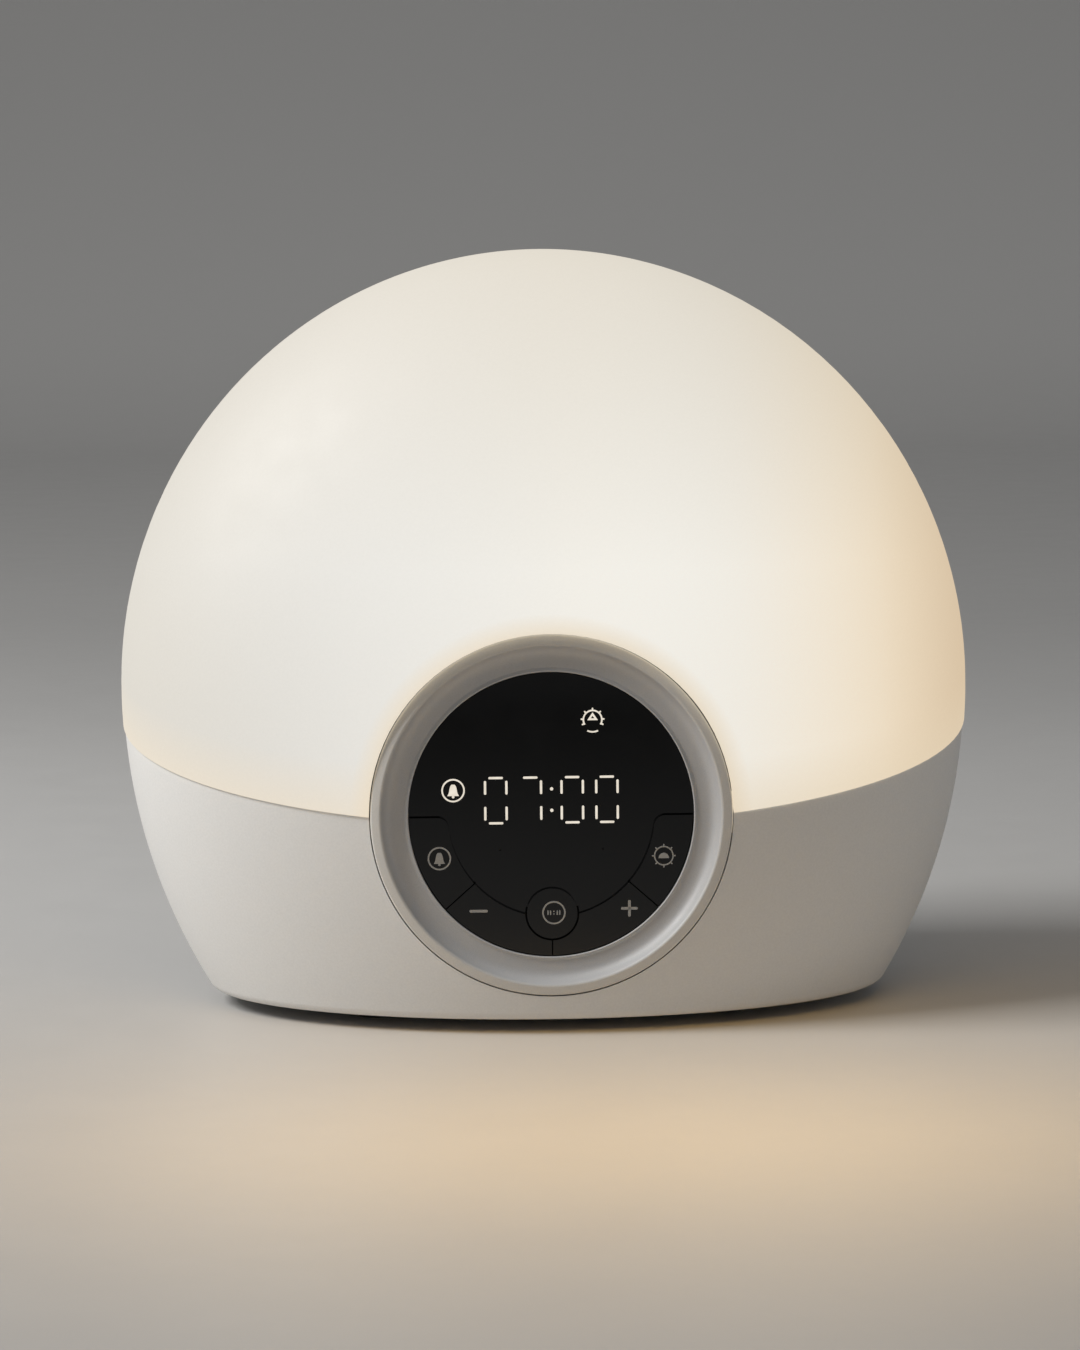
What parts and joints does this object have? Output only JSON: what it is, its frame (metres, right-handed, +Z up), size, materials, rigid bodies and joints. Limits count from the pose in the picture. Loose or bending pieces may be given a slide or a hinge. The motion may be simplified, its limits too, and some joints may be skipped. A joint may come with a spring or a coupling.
{
  "type": "sunrise alarm clock",
  "caption": "Table-top sunrise alarm clock: leaning opal light dome on a white base, with a round control panel of display and push keys in a dished silver ring.",
  "frame": {"origin": "on the table, under the centre of the lamp's box", "axes": "+X to the right seen from the front, +Y to the back, +Z up"},
  "size_m": [0.21, 0.1222, 0.184],
  "materials": {
    "bare_aluminium": "plain sheet",
    "black_gloss": "polished smoked window",
    "black_key": "polished, with printed grey symbols",
    "cable_black": "insulation",
    "cable_white": "insulation",
    "chip_black": "moulded package",
    "circuit_board": "solder mask",
    "clear_light": "light emitter",
    "copper_coil": "enamelled wire",
    "dark_plastic": "moulded",
    "opal_dome": "opal, satin, lit from inside",
    "plunger_plastic": "moulded",
    "rubber": "matt",
    "satin_silver": "satin silver lacquer on plastic",
    "screw_steel": "zinc plated",
    "speaker_steel": "plated",
    "white_board": "white solder mask",
    "white_shell": "fine matt moulding",
    "white_tray": "white moulding"
  },
  "bodies": {
    "root": {"base_shell": "white_shell", "bezel_ring": "satin_silver", "board_sockets": "white_tray", "bottom_cover": "white_shell", "cable_plugs": "white_tray", "capacitor": "chip_black", "clamp_screws": "screw_steel", "coil": "copper_coil", "control_board": "circuit_board", "control_board_screws": "screw_steel", "control_chip": "chip_black", "cover_screws": "screw_steel", "diffuser_dome": "opal_dome", "display_lens": "black_gloss", "display_module": "dark_plastic", "heat_spreader": "bare_aluminium", "housing_screws": "screw_steel", "indicator_lights": "clear_light", "inlet_nut": "screw_steel", "led_board": "white_board", "led_board_screws": "screw_steel", "led_cable": "cable_white", "leds": "clear_light", "main_board": "circuit_board", "main_board_screws": "screw_steel", "main_chips": "chip_black", "panel_cable": "cable_black", "panel_housing": "dark_plastic", "panel_rear_cover": "dark_plastic", "power_inlet": "dark_plastic", "power_leads": "cable_black", "reflector_tray": "white_tray", "rubber_feet": "rubber", "speaker": "speaker_steel", "speaker_clamp": "dark_plastic", "speaker_leads": "cable_black", "switch_bodies": "chip_black", "tray_screws": "screw_steel"},
    "alarm_button": {"alarm_key": "black_key", "alarm_plunger": "plunger_plastic"},
    "minus_button": {"minus_key": "black_key", "minus_plunger": "plunger_plastic"},
    "clock_button": {"clock_key": "black_key", "clock_plunger": "plunger_plastic"},
    "plus_button": {"plus_key": "black_key", "plus_plunger": "plunger_plastic"},
    "light_button": {"light_key": "black_key", "light_plunger": "plunger_plastic"}
  },
  "joints": [
    {"name": "alarm_press", "type": "slide", "parent": "root", "child": "alarm_button", "axis": [0, 0.9986, -0.0523], "range_m": [0, 0.0005], "stiffness_N_per_m": 1600, "springref_m": -0.0005},
    {"name": "minus_press", "type": "slide", "parent": "root", "child": "minus_button", "axis": [0, 0.9986, -0.0523], "range_m": [0, 0.0005], "stiffness_N_per_m": 1600, "springref_m": -0.0005},
    {"name": "clock_press", "type": "slide", "parent": "root", "child": "clock_button", "axis": [0, 0.9986, -0.0523], "range_m": [0, 0.0005], "stiffness_N_per_m": 1600, "springref_m": -0.0005},
    {"name": "plus_press", "type": "slide", "parent": "root", "child": "plus_button", "axis": [0, 0.9986, -0.0523], "range_m": [0, 0.0005], "stiffness_N_per_m": 1600, "springref_m": -0.0005},
    {"name": "light_press", "type": "slide", "parent": "root", "child": "light_button", "axis": [0, 0.9986, -0.0523], "range_m": [0, 0.0005], "stiffness_N_per_m": 1600, "springref_m": -0.0005}
  ]
}
